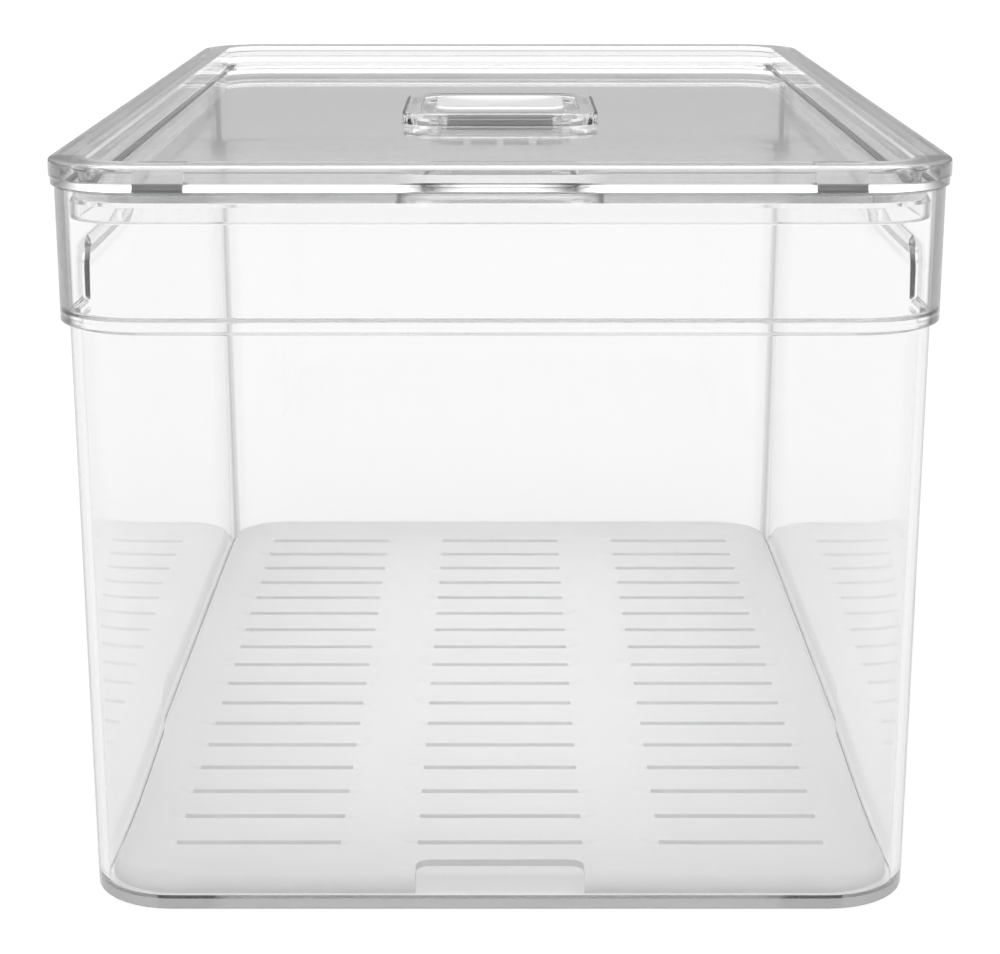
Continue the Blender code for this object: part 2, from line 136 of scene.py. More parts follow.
def rounded(points, n=EASE):
    """Round the corners of an open profile; points are (s, z, radius)."""
    out = []
    for i, (s, z, r) in enumerate(points):
        if r <= 0 or i in (0, len(points) - 1):
            out.append((s, z))
            continue
        (s0, z0, _), (s1, z1, _) = points[i - 1], points[i + 1]
        a, b = math.hypot(s0 - s, z0 - z), math.hypot(s1 - s, z1 - z)
        ua, ub = ((s0 - s) / a, (z0 - z) / a), ((s1 - s) / b, (z1 - z) / b)
        half = math.acos(max(-1.0, min(1.0, ua[0] * ub[0] + ua[1] * ub[1]))) / 2
        back = min(r / math.tan(half), 0.49 * a, 0.49 * b)
        p, q = (s + ua[0] * back, z + ua[1] * back), (s + ub[0] * back, z + ub[1] * back)
        for k in range(n + 1):
            t = k / n
            w0, w1, w2 = (1 - t) ** 2, 2 * t * (1 - t), t * t
            out.append((w0 * p[0] + w1 * s + w2 * q[0], w0 * p[1] + w1 * z + w2 * q[1]))
    return out


def skin(bm, rings, closed=False, cap=True):
    """Join a chain of equal-length rings with quads, capped at both ends unless closed."""
    loops = [[bm.verts.new(p) for p in ring] for ring in rings]
    n = len(loops[0])
    for a, b in list(zip(loops, loops[1:])) + ([(loops[-1], loops[0])] if closed else []):
        for i in range(n):
            j = (i + 1) % n
            bm.faces.new((a[i], a[j], b[j], b[i]))
    if cap and not closed:
        bm.faces.new(list(reversed(loops[0])))
        bm.faces.new(loops[-1])
    return loops


def block(bm, x0, x1, y0, y1, z0, z1):
    """Add a closed box to a tool mesh."""
    low = [(x0, y0), (x1, y0), (x1, y1), (x0, y1)]
    skin(bm, [[(x, y, z0) for x, y in low], [(x, y, z1) for x, y in low]])


def make_object(bm, name):
    """Turn the faces outward, shade smooth up to the SMOOTH angle, and link the object."""
    bmesh.ops.recalc_face_normals(bm, faces=bm.faces[:])
    mesh = bpy.data.meshes.new(name)
    bm.to_mesh(mesh)
    bm.free()
    mesh.shade_smooth()
    mesh.set_sharp_from_angle(angle=math.radians(SMOOTH))
    ob = bpy.data.objects.new(name, mesh)
    bpy.context.scene.collection.objects.link(ob)
    return ob


def apply_tool(target, tool_bm, operation):
    """Cut or join a tool mesh with the exact solver, and keep only the result."""
    tool = make_object(tool_bm, target.name + "_tool")
    mod = target.modifiers.new("tool", 'BOOLEAN')
    mod.operation, mod.solver, mod.object = operation, 'EXACT', tool
    graph = bpy.context.evaluated_depsgraph_get()
    result = bpy.data.meshes.new_from_object(target.evaluated_get(graph))
    target.modifiers.clear()
    old, target.data = target.data, result
    bpy.data.meshes.remove(old)
    bpy.data.objects.remove(tool, do_unlink=True)
    result.shade_smooth()
    result.set_sharp_from_angle(angle=math.radians(SMOOTH))


def dress(ob, node, body, material):
    """Finish a visible piece: even shading, its material, its body and the node it stands for."""
    even = ob.modifiers.new("even_normals", 'WEIGHTED_NORMAL')
    even.keep_sharp = True
    ob.data.materials.clear()
    ob.data.materials.append(material)
    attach(ob, body)
    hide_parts(node)


# ---- materials -------------------------------------------------------------------------------
class Nodes:
    """Small helper that adds nodes to a material and links them by socket name."""

    def __init__(self, name):
        self.mat = bpy.data.materials.new(name)
        self.mat.use_nodes = True
        self.tree = self.mat.node_tree
        self.bsdf = self.tree.nodes["Principled BSDF"]
        self.out = self.tree.nodes["Material Output"]

    def add(self, kind, values=(), **props):
        node = self.tree.nodes.new(kind)
        for key, value in props.items():
            setattr(node, key, value)
        for key, value in dict(values).items():
            node.inputs[key].default_value = value
        return node

    def link(self, a, out, b, into):
        self.tree.links.new(a.outputs[out], b.inputs[into])

    def spread(self, source, out, low, high, into_node, into, start=0.3, stop=0.7):
        """Map a 0 to 1 pattern onto a range and feed it to a socket."""
        fit = self.add("ShaderNodeMapRange", {"From Min": start, "From Max": stop,
                                              "To Min": low, "To Max": high})
        self.link(source, out, fit, "Value")
        self.link(fit, "Result", into_node, into)


def within(m, source, out, low, high):
    """One where a value lies between two limits, else zero."""
    node = m.add("ShaderNodeMath", {1: (low + high) / 2, 2: (high - low) / 2}, operation='COMPARE')
    m.link(source, out, node, 0)
    return node


def combine(m, operation, a, b):
    """Join two math results with one more."""
    node = m.add("ShaderNodeMath", operation=operation)
    m.link(a, 0, node, 0)
    m.link(b, 0, node, 1)
    return node


def grey_ramp(m, source, out, stops):
    """Grey levels along a value, as (position, level) stops."""
    ramp = m.add("ShaderNodeValToRGB")
    elements = ramp.color_ramp.elements
    for k, (where, level) in enumerate(stops):
        element = elements[0] if k == 0 else elements[1] if k == 1 else elements.new(where)
        element.position, element.color = where, (level, level, level, 1)
    m.link(source, out, ramp, "Fac")
    return ramp


def blend(m, mask, mask_out, a, a_out, b, b_out, mode='MIX'):
    """Mix two colours by a mask."""
    mix = m.add("ShaderNodeMix", data_type='RGBA', blend_type=mode)
    m.link(mask, mask_out, mix, 0)
    m.link(a, a_out, mix, 6)
    m.link(b, b_out, mix, 7)
    return mix


def grey(m, level):
    """A plain grey."""
    node = m.add("ShaderNodeRGB")
    node.outputs[0].default_value = (level, level, level, 1)
    return node


def cloud(m, mask, share):
    """Make a clear plastic cloudy by a share where the mask is one."""
    clear = m.add("ShaderNodeMath", {1: -share, 2: 1.0}, operation='MULTIPLY_ADD')
    m.link(mask, 0, clear, 0)
    m.link(clear, 0, m.bsdf, "Transmission Weight")


def bin_shade(m, tint_and_edge_shade, axes):
    """Painted shade: greyer corners seen edge on, painted dark lines at the back ones and at the rim, and a
    greyer floor edge that is also made cloudy.
    """
    start = BAND_HY - BODY_R
    away = m.add("ShaderNodeMath", operation='ABSOLUTE')
    m.link(axes, "Y", away, 0)
    corner = m.add("ShaderNodeMapRange", {"From Min": start, "From Max": start + 3 * MM})
    m.link(away, 0, corner, "Value")
    above = m.add("ShaderNodeMapRange", {"From Min": SHOULDER_Z - MM, "From Max": SHOULDER_Z + MM})
    m.link(axes, "Z", above, "Value")
    # painted shade: the corners grey as they are seen edge on, and the band above the shoulder turns much
    # darker at its sides
    facing = m.add("ShaderNodeLayerWeight", {"Blend": 0.5})
    low = grey_ramp(m, facing, "Facing", ((0.25, 0.94), (0.95, 0.55)))
    high = grey_ramp(m, facing, "Facing", ((0.46, 0.94), (0.56, 0.09)))
    by_height = blend(m, above, "Result", low, "Color", high, "Color")
    shade = blend(m, corner, "Result", tint_and_edge_shade, "Color", by_height, 2)
    # painted dark lines down the back corners, multiplied into the colour
    along = m.add("ShaderNodeMapRange", {"From Min": start - 2 * MM, "From Max": start + 8 * MM})
    m.link(axes, "Y", along, "Value")
    line = grey_ramp(m, along, "Result", ((0.16, 1.0), (0.24, 0.45), (0.55, 0.60), (0.68, 1.0)))
    one = m.add("ShaderNodeValue")
    one.outputs[0].default_value = 1.0
    lined = blend(m, one, 0, shade, 2, line, "Color", 'MULTIPLY')
    # painted shade: the floor edge is greyed, and made cloudy too
    floor_edge = within(m, axes, "Z", 0.05 * MM, FLOOR - 0.1 * MM)
    cloud(m, floor_edge, FLOOR_EDGE_CLOUD)
    banded = blend(m, floor_edge, 0, lined, 2, grey(m, FLOOR_EDGE_PAINTED_SHADE), 0, 'MULTIPLY')
    # painted dark line round the rim's top
    rim = within(m, axes, "Z", BIN_TOP - 0.5 * MM, BIN_TOP + 0.1 * MM)
    return blend(m, rim, 0, banded, 2, grey(m, BIN_RIM_PAINTED_SHADE), 0, 'MULTIPLY')


def lid_shade(m, tint_and_edge_shade, axes):
    """Painted shade: greyer lugs, scoop edges and ends in the front lip, greyer side rim feet, and a dark
    deck edge that is also made cloudy.
    """
    across = m.add("ShaderNodeMath", operation='ABSOLUTE')
    m.link(axes, "X", across, 0)
    # painted shade in the front lip: darker at the scoop's edges and over the lugs
    front = combine(m, 'MULTIPLY', within(m, axes, "Y", -LID_HY - MM, 6.5 * MM - LID_HY),
                    within(m, axes, "Z", LID_Z0 - 0.2 * MM, LID_STEP_Z + 0.05 * MM))
    share = m.add("ShaderNodeMath", {1: RAMP_PER_M}, operation='MULTIPLY')
    m.link(across, 0, share, 0)
    low, high = (LUG_X - LUG_W / 2) * RAMP_PER_M, (LUG_X + LUG_W / 2) * RAMP_PER_M
    scoop = ((0.07, 0.45), (0.11, 0.20), (0.150, 0.03), (0.175, 0.015), (0.195, 0.20), (0.24, 1.0))
    lug = ((low - 0.014, 1.0), (low - 0.012, 0.45), (low - 0.001, 0.45),
           (low, 0.10), (high, 0.10), (high + 0.001, 1.0))
    lug_and_scoop_shade = grey_ramp(m, share, 0, scoop + lug)
    shade = blend(m, front, 0, tint_and_edge_shade, "Color", lug_and_scoop_shade, "Color", 'MULTIPLY')
    # painted shade at the ends of the front lip, towards its corners
    corner = m.add("ShaderNodeMapRange", {"From Min": LID_HX - 15 * MM, "From Max": LID_HX - 4 * MM})
    m.link(across, 0, corner, "Value")
    lip = combine(m, 'MULTIPLY', within(m, axes, "Y", -LID_HY - MM, LID_R - LID_HY),
                  within(m, axes, "Z", LID_Z0 - 0.2 * MM, LID_TOP + 0.2 * MM))
    lip_end = m.add("ShaderNodeMath", operation='MULTIPLY')
    m.link(corner, "Result", lip_end, 0)
    m.link(lip, 0, lip_end, 1)
    shade = blend(m, lip_end, 0, shade, 2, grey(m, LIP_END_PAINTED_SHADE), 0, 'MULTIPLY')
    # painted dark line at the feet of the side rims, where they meet the panel
    rim_in = LID_HX - RIM_W
    foot = combine(m, 'MULTIPLY', within(m, across, 0, rim_in - 1.3 * MM, rim_in + 0.1 * MM),
                   within(m, axes, "Z", PANEL_TOP - 0.05 * MM, PANEL_TOP + MM))
    shade = blend(m, foot, 0, shade, 2, grey(m, RIM_FOOT_PAINTED_SHADE), 0, 'MULTIPLY')
    # painted dark line along the deck's raised edge, which is also made cloudy
    side = m.add("ShaderNodeMath", {1: DECK_HX}, operation='SUBTRACT')
    m.link(across, 0, side, 0)
    end = m.add("ShaderNodeMath", {1: 0.35, 2: -0.35 * DECK_HY}, operation='MULTIPLY_ADD')
    m.link(axes, "Y", end, 0)
    edge = within(m, combine(m, 'MAXIMUM', side, end), 0, -MM, 0.7 * MM)
    raised = combine(m, 'MULTIPLY', within(m, axes, "Z", DECK_TOP - 0.8 * MM, DECK_TOP + 0.1 * MM),
                     within(m, axes, "Y", 6 * MM - DECK_HY, 2 * DECK_HY))
    deck_edge = combine(m, 'MULTIPLY', edge, raised)
    cloud(m, deck_edge, DECK_EDGE_CLOUD)
    return blend(m, deck_edge, 0, shade, 2, grey(m, DECK_EDGE_PAINTED_SHADE), 0, 'MULTIPLY')


def clear_plastic(name, absorb, face_on, edge_on, rough=(0.010, 0.045), ripple=0.02, milk=0.0,
                  shade=None):
    """Moulded clear plastic: faint flow ripple and hairline scuffs, made a little greyer edge on by painted
    shade.

    absorb is the absorption per metre, face_on is how much light one wall lets by face on, and edge_on
    its grey edge on, lower than face_on as painted shade; milk is the share of cloudy white, and shade adds
    painted shade in places.
    """
    m = Nodes(name)
    m.bsdf.inputs["Transmission Weight"].default_value = 1.0 - milk
    m.bsdf.inputs["IOR"].default_value = 1.50
    # painted shade: the tint darkens from face_on to edge_on as a wall is seen more edge on
    facing = m.add("ShaderNodeLayerWeight", {"Blend": 0.5})
    tint_and_edge_shade = m.add("ShaderNodeValToRGB")
    first, last = tint_and_edge_shade.color_ramp.elements
    first.position, first.color = 0.55, (face_on, face_on, face_on, 1)
    last.position, last.color = 0.97, (edge_on, edge_on, edge_on * 1.005, 1)
    m.link(facing, "Facing", tint_and_edge_shade, "Fac")
    m.link(tint_and_edge_shade, "Color", m.bsdf, "Base Color")
    place = m.add("ShaderNodeTexCoord")
    if shade:
        axes = m.add("ShaderNodeSeparateXYZ")
        m.link(place, "Object", axes, "Vector")
        m.link(shade(m, tint_and_edge_shade, axes), 2, m.bsdf, "Base Color")
    haze = m.add("ShaderNodeTexNoise", {"Scale": 38.0, "Detail": 6.0, "Roughness": 0.6})
    m.link(place, "Object", haze, "Vector")
    m.spread(haze, "Fac", rough[0], rough[1], m.bsdf, "Roughness", 0.42, 0.78)
    flow = m.add("ShaderNodeTexNoise", {"Scale": 22.0, "Detail": 2.0, "Roughness": 0.5})
    m.link(place, "Object", flow, "Vector")
    stretch = m.add("ShaderNodeMapping", {"Scale": (9.0, 260.0, 9.0)})
    m.link(place, "Object", stretch, "Vector")
    scuff = m.add("ShaderNodeTexNoise", {"Scale": 6.0, "Detail": 3.0})
    m.link(stretch, "Vector", scuff, "Vector")
    wave = m.add("ShaderNodeBump", {"Strength": ripple, "Distance": 0.0006})
    m.link(flow, "Fac", wave, "Height")
    fine = m.add("ShaderNodeBump", {"Strength": ripple * 0.25, "Distance": 0.00005})
    m.link(scuff, "Fac", fine, "Height")
    m.link(wave, "Normal", fine, "Normal")
    m.link(fine, "Normal", m.bsdf, "Normal")
    depth = m.add("ShaderNodeVolumeAbsorption", {"Color": (0.80, 0.803, 0.806, 1),
                                                 "Density": absorb / 0.19})
    m.link(depth, "Volume", m.out, "Volume")
    return m.mat


def frosted_plastic(name):
    """Milky translucent tray plastic with a fine moulded grain."""
    m = Nodes(name)
    m.bsdf.inputs["IOR"].default_value = 1.49
    m.bsdf.inputs["Transmission Weight"].default_value = 0.06
    place = m.add("ShaderNodeTexCoord")
    mottle = m.add("ShaderNodeTexNoise", {"Scale": 16.0, "Detail": 4.0})
    m.link(place, "Object", mottle, "Vector")
    ramp = m.add("ShaderNodeValToRGB")
    ramp.color_ramp.elements[0].position, ramp.color_ramp.elements[1].position = 0.35, 0.70
    ramp.color_ramp.elements[0].color = (0.975, 0.976, 0.978, 1)
    ramp.color_ramp.elements[1].color = (0.995, 0.995, 0.995, 1)
    m.link(mottle, "Fac", ramp, "Fac")
    m.link(ramp, "Color", m.bsdf, "Base Color")
    grain = m.add("ShaderNodeTexNoise", {"Scale": 900.0, "Detail": 3.0})
    m.link(place, "Object", grain, "Vector")
    m.spread(grain, "Fac", 0.34, 0.50, m.bsdf, "Roughness")
    bump = m.add("ShaderNodeBump", {"Strength": 0.10, "Distance": 0.0001})
    m.link(grain, "Fac", bump, "Height")
    m.link(bump, "Normal", m.bsdf, "Normal")
    return m.mat


def silicone(name):
    """Soft translucent seal rubber."""
    m = Nodes(name)
    m.bsdf.inputs["IOR"].default_value = 1.42
    m.bsdf.inputs["Transmission Weight"].default_value = 0.45
    m.bsdf.inputs["Base Color"].default_value = (0.80, 0.81, 0.82, 1)
    place = m.add("ShaderNodeTexCoord")
    skin_noise = m.add("ShaderNodeTexNoise", {"Scale": 500.0, "Detail": 4.0})
    m.link(place, "Object", skin_noise, "Vector")
    m.spread(skin_noise, "Fac", 0.42, 0.62, m.bsdf, "Roughness")
    bump = m.add("ShaderNodeBump", {"Strength": 0.15, "Distance": 0.0001})
    m.link(skin_noise, "Fac", bump, "Height")
    m.link(bump, "Normal", m.bsdf, "Normal")
    return m.mat


# ---- bin body --------------------------------------------------------------------------------
def body_half_y(s):
    """Half depth of the body for a half-width offset s from the base, both drafts included."""
    draft_x, draft_y = BODY_HX - BASE_HX, BODY_HY - BASE_HY
    band_x, band_y = BAND_HX - BODY_HX, BAND_HY - BODY_HY
    if s <= 0:
        return BASE_HY + s
    if s <= draft_x:
        return BASE_HY + s * draft_y / draft_x
    return BODY_HY + (s - draft_x) * band_y / band_x


def ramp01(t):
    """Smooth step from 0 to 1."""
    t = max(0.0, min(1.0, t))
    return t * t * (3 - 2 * t)


def grip_side(z, press, grow):
    """Points down a long side at height z, pressed in by press metres inside the hand grip."""
    half, top, r = GRIP_HALF + grow, GRIP_TOP + grow, GRIP_R + grow
    over = max(0.0, min(r, z - (top - r)))
    reach = half - r + math.sqrt(r * r - over * over)
    edge = 0.8 * MM
    rise = 1.0 - ramp01((z - (top - edge)) / (2 * edge))
    steps = (1.0, 0.6, 0.2, -0.2, -0.6, -1.0)
    low = [(-reach - k * edge, press * rise * ramp01((1.0 - k) / 2)) for k in steps]
    return low + [(-y, inset) for y, inset in reversed(low)]


def make_bin_body():
    draft, step = BODY_HX - BASE_HX, BAND_HX - BODY_HX
    full = draft + step
    outer = rounded([(-CAP_IN, 0, 0), (0, 0, 0.6 * MM),
                     (draft, SHOULDER_Z - 0.4 * MM, 0.8 * MM), (full - 0.1 * MM, SHOULDER_Z, 0.7 * MM),
                     (full, BIN_TOP, 0.3 * MM), (full - WALL, BIN_TOP, 0.5 * MM),
                     (full - WALL, INNER_SHOULDER_Z, 0.6 * MM),
                     (draft - WALL, INNER_SHOULDER_Z - 0.9 * MM, 0.9 * MM),
                     (-WALL, FLOOR, 0.35 * MM), (-CAP_IN, FLOOR, 0)])
    rings = []
    inside = False
    grip_zs = [GRIP_TOP + step * MM for step in GRIP_STEPS]
    profile = []
    for i, (s, z) in enumerate(outer):
        profile.append((s, z, inside))
        if i + 1 < len(outer):
            s1, z1 = outer[i + 1]
            if abs(z1 - BIN_TOP) < 1e-6 and s1 < full - WALL / 2:
                inside = True
            span = z1 - z
            if abs(span) > 20 * MM and s > draft - WALL - 1e-6:
                grow = WALL if inside else 0.0
                wanted = [q + grow for q in grip_zs]
                inner_zs = [q for q in wanted if min(z, z1) < q < max(z, z1)]
                for q in sorted(inner_zs, reverse=span < 0):
                    t = (q - z) / span
                    profile.append((s + (s1 - s) * t, q, inside))
    for s, z, is_in in profile:
        hx = BASE_HX + s
        wall_in = WALL if is_in or (z <= FLOOR + MM and s < -WALL) else 0.0
        if is_in:
            hy = body_half_y(s + WALL) - WALL
        else:
            hy = body_half_y(s)
        r = max(BODY_R - wall_in + min(0.0, s + wall_in), 3 * MM)
        beyond = s + wall_in - draft
        press = max(0.0, beyond) if z > SHOULDER_Z - MM else 0.0
        rings.append(plan_ring(hx, hy, r, z, side=grip_side(z, press, wall_in)))
    bm = bmesh.new()
    skin(bm, rings)
    return make_object(bm, "bin_body_moulding")


# ---- lid -------------------------------------------------------------------------------------
def scoop_depth(share, z):
    """How far the lip is pressed in by the finger scoop, at a share of the half width."""
    x = abs(share) * (LID_HX - LID_R)
    if z > LID_STEP_Z + 0.3 * MM:
        return 0.0
    return SCOOP_DEEP * ramp01((SCOOP_HALF - x) / (9 * MM))


SCOOP_END = sorted({round(s * x / (LID_HX - LID_R), 4) for s in (-1, 1)
                    for x in (0, 6 * MM, 12 * MM, 15.5 * MM, 17 * MM, 18.5 * MM, 20 * MM, 21.5 * MM,
                              23 * MM, 24.2 * MM, 25.4 * MM, 60 * MM)})


def lid_ring(inset, z, r=None, scoop=False):
    hx, hy = LID_HX - inset, LID_HY - inset
    end = [(u, 0.0) for u in SCOOP_END]
    front = [(u, scoop_depth(u, z)) for u in SCOOP_END] if scoop else end
    return plan_ring(hx, hy, r or LID_R - inset, z, end=end, front=front)


def vent_ring(hx, hy, r, z):
    return plan_ring(hx, hy, r, z, end=[(u, 0.0) for u in SCOOP_END])


def make_lid():
    hole, seat = CUP_H + GAP, CUP_FLANGE_H + GAP
    seat_z = CUP_HIGH[2] - CUP_FLANGE_T - GAP
    under, skirt_in = PANEL_TOP - PANEL_T, SKIRT_OUT + SKIRT_T
    deck_under = DECK_TOP - DECK_T
    rings = [vent_ring(hole, hole, CUP_R + 0.3 * MM, deck_under),
             vent_ring(hole, hole, CUP_R + 0.3 * MM, seat_z),
             vent_ring(seat, seat, CUP_R + 1.5 * MM, seat_z)]
    # deck, from the vent's seat out to the panel: s is how far inside the deck's edge
    deck = rounded([(2 * MM, DECK_TOP, 0), (0, DECK_TOP, 0.4 * MM), (-0.3 * MM, PANEL_TOP, 0.15 * MM),
                    (-3 * MM, PANEL_TOP, 0)])
    rings.append(vent_ring(seat, seat, CUP_R + 1.5 * MM, DECK_TOP - 0.3 * MM))
    rings.append(vent_ring(seat + 0.3 * MM, seat + 0.3 * MM, CUP_R + 1.8 * MM, DECK_TOP))
    for s, z in deck:
        rings.append(vent_ring(DECK_HX - s, DECK_HY - s, 11 * MM - s, z))
    # rim and skirt, from the panel outward and down: s is the inset from the lid's edge
    rim = rounded([(RIM_W + 3 * MM, PANEL_TOP, 0), (RIM_W, PANEL_TOP, 0.8 * MM),
                   (RIM_W - 0.1 * MM, LID_TOP, 0.25 * MM), (0, LID_TOP, 1.0 * MM),
                   (0, LID_STEP_Z, 0.2 * MM), (LIP_SET, LID_STEP_Z - 0.3 * MM, 0.2 * MM),
                   (LIP_SET, LID_Z0, 0.1 * MM), (LIP_SET + 0.2 * MM, LID_Z0, 0.05 * MM),
                   (LIP_WALL, LIP_BEVEL_Z, 0.1 * MM), (LIP_WALL, LID_TOP - LID_WALL, 0.6 * MM)])
    for s, z in rim:
        rings.append(lid_ring(s, z, scoop=z < LID_STEP_Z + 0.1 * MM))
    lead = SKIRT_OUT + LEAD_IN
    skirt = rounded([(lead, LID_TOP - LID_WALL, 0), (lead, LID_Z0 + 0.2 * MM, 0.3 * MM),
                     (SKIRT_OUT, LEAD_Z, 0.3 * MM), (SKIRT_OUT, SKIRT_Z, 0.6 * MM),
                     (skirt_in, SKIRT_Z, 0.6 * MM), (skirt_in, under, 0.25 * MM),
                     (skirt_in + 4 * MM, under, 0)])
    for s, z in skirt:
        rings.append(lid_ring(s, z, r=SKIRT_R - (s - SKIRT_OUT)))
    gap = 1.8 * MM
    rings.append(vent_ring(DECK_HX - gap, DECK_HY - gap, 9.5 * MM, under))
    rings.append(vent_ring(DECK_HX - gap, DECK_HY - gap, 9.5 * MM, deck_under))
    bm = bmesh.new()
    skin(bm, rings, closed=True)
    lid = make_object(bm, "lid_moulding")
    lugs, ribs = bmesh.new(), bmesh.new()
    for x in (-LUG_X, LUG_X):
        block(lugs, x - LUG_W / 2, x + LUG_W / 2,
              LIP_SET + 0.15 * MM - LID_HY, lead + 0.8 * MM - LID_HY,
              LID_Z0 + 0.02 * MM, LID_TOP - LID_WALL + 0.5 * MM)
        for k in range(-2, 3):
            rib = x + k * CRUSH_PITCH
            block(ribs, rib - CRUSH_HALF, rib + CRUSH_HALF, SKIRT_OUT - 0.4 * MM - LID_HY,
                  SKIRT_OUT + 0.6 * MM - LID_HY, SKIRT_Z + MM, LEAD_Z - 0.3 * MM)
    apply_tool(lid, lugs, 'UNION')
    apply_tool(lid, ribs, 'UNION')
    return lid


# ---- vent ------------------------------------------------------------------------------------
def square_rings(profile, hx, hy, r):
    """Rings of a square piece; s in the profile is the inset from its widest outline."""
    return [plan_ring(hx - s, hy - s, max(r - s, 0.8 * MM), z, segs=8) for s, z in profile]


def make_vent_cup():
    top, foot = CUP_HIGH[2], CUP_LOW[2]
    h = CUP_FLANGE_H
    wall_in = h - CUP_H + CUP_WALL
    floor_under = CUP_FLOOR_TOP - CUP_FLOOR_T
    port = h - PORT_H
    profile = rounded([(port, floor_under, 0), (port, CUP_FLOOR_TOP - 0.2 * MM, 0.2 * MM),
                       (port - 0.2 * MM, CUP_FLOOR_TOP, 0.2 * MM), (wall_in, CUP_FLOOR_TOP, 0.7 * MM),
                       (wall_in, top, 0.3 * MM), (0, top, 0.35 * MM), (0, top - CUP_FLANGE_T, 0.1 * MM),
                       (h - CUP_H, top - CUP_FLANGE_T, 0.1 * MM), (h - CUP_H, foot + 1.6 * MM, 1.4 * MM),
                       (h - CUP_H + 1.5 * MM, foot, 0.4 * MM), (wall_in + 1.1 * MM, foot, 0.2 * MM),
                       (wall_in + 0.8 * MM, floor_under, 0)])
    bm = bmesh.new()
    skin(bm, square_rings(profile, h, h, CUP_R + 1.2 * MM), closed=True)
    cup = make_object(bm, "vent_cup_moulding")
    for along_y in (True, False):
        tool = bmesh.new()
        for k in (-1, 0, 1):
            a, b = k * VENT_SLOT_PITCH - VENT_SLOT_W / 2, k * VENT_SLOT_PITCH + VENT_SLOT_W / 2
            far = CUP_H + 2 * MM
            span = (a, b, -far, far) if along_y else (-far, far, a, b)
            block(tool, *span, foot - MM, floor_under - 0.3 * MM)
        apply_tool(cup, tool, 'DIFFERENCE')
    return cup


def make_vent_knob():
    top, hx, hy = KNOB_HIGH[2], KNOB_HIGH[0], KNOB_HIGH[1]
    bm = bmesh.new()
    dish = []
    for share, drop in ((0.12, 0.60), (0.35, 0.57), (0.55, 0.50), (0.72, 0.36), (0.82, 0.20), (0.88, 0.07)):
        dish.append((hx * share, hy * share, max(6.2 * MM * share, MM), top - drop * MM))
    rings = [plan_ring(a, b, r, z, segs=8) for a, b, r, z in dish]
    shell = rounded([(1.9 * MM, top, 0), (0.0, top, 1.1 * MM), (0, KNOB_Z0, 0.3 * MM),
                     (hx - PLUNGER_H, KNOB_Z0, 0)])
    rings += square_rings(shell[:-1], hx, hy, 6.2 * MM)
    plunger = rounded([(0, KNOB_Z0, 0), (0, PLUNGER_Z0, 0.3 * MM),
                       (PLUNGER_H - SPIGOT_H, PLUNGER_Z0, 0.1 * MM),
                       (PLUNGER_H - SPIGOT_H, KNOB_LOW[2], 0.2 * MM),
                       (PLUNGER_H - SPIGOT_H + 1.8 * MM, KNOB_LOW[2], 0.2 * MM),
                       (PLUNGER_H - SPIGOT_H + 1.8 * MM, PLUNGER_Z0 + 0.6 * MM, 0.3 * MM),
                       (2.0 * MM, PLUNGER_Z0 + 2.0 * MM, 0.4 * MM),
                       (2.0 * MM, top - 2.6 * MM, 0.7 * MM), (5.0 * MM, top - 2.6 * MM, 0)])
    rings += square_rings(plunger, PLUNGER_H, PLUNGER_H, 4.5 * MM)
    skin(bm, rings)
    return make_object(bm, "vent_knob_moulding")


def make_vent_seal():
    h, low, high = SEAL_HIGH[0], SEAL_LOW[2], SEAL_HIGH[2]
    width = h - SPIGOT_H - GAP
    profile = rounded([(width / 2, low, 0), (width, low, 0.3 * MM), (width, high, 0.3 * MM),
                       (0, high, 0.45 * MM), (0, low, 0.45 * MM)])
    bm = bmesh.new()
    skin(bm, square_rings(profile, h, h, 4.5 * MM), closed=True)
    return make_object(bm, "vent_seal_ring")


# ---- drain tray ------------------------------------------------------------------------------
def louvre(bm, cx, cy, segs=8, steps=(0.0, 0.18, 0.42, 0.70, 1.0)):
    """One louvre: an eased ramp up to its lip, with the slot at the lip's foot."""
    low = TRAY_TOP - TRAY_T
    front, lip = cy - LOUVRE_R, cy - LOUVRE_R + SLOT_W
    right = arc_points(cx + SLOT_HALF, cy, LOUVRE_R, -90, 90, segs)
    left = arc_points(cx - SLOT_HALF, cy, LOUVRE_R, 90, 270, segs)
    outline = right + left
    grid = []
    for x, y in outline:
        tx, ty = max(cx - SLOT_HALF, min(cx + SLOT_HALF, x)), lip
        grid.append([bm.verts.new((x + (tx - x) * t, y + (ty - y) * t,
                                   TRAY_TOP + LOUVRE_RISE * (1 - (1 - t) ** 1.6))) for t in steps[:-1]])
    tips = [bm.verts.new((cx + s * SLOT_HALF, lip, TRAY_TOP + LOUVRE_RISE)) for s in (1, -1)]
    half = segs + 1
    for i, column in enumerate(grid):
        column.append(tips[0] if i < half else tips[1])
    for i in range(len(grid) - 1):
        for k in range(len(steps) - 1):
            quad = [grid[i][k], grid[i + 1][k], grid[i + 1][k + 1], grid[i][k + 1]]
            face = list(dict.fromkeys(quad))
            if len(face) > 2:
                bm.faces.new(face)
    feet = [[bm.verts.new((cx + s * SLOT_HALF, y, low)) for y in (front, lip)] for s in (1, -1)]
    (rf, rb), (lf, lb) = feet
    start, finish = grid[0], grid[-1]
    bm.faces.new(start + [rb, rf])
    bm.faces.new(finish + [lb, lf])
    bm.faces.new((tips[1], lb, rb, tips[0]))
    bm.faces.new((finish[0], start[0], rf, lf))
    return [column[0] for column in grid], [lf, rf, rb, lb]


def fill_plane(bm, loops, up):
    """Fill the flat area between an outer loop and the loops of its holes."""
    edges = []
    for loop in loops:
        for a, b in zip(loop, loop[1:] + loop[:1]):
            edges.append(bm.edges.get((a, b)) or bm.edges.new((a, b)))
    bmesh.ops.triangle_fill(bm, edges=edges, use_beauty=True, use_dissolve=False, normal=(0, 0, up))


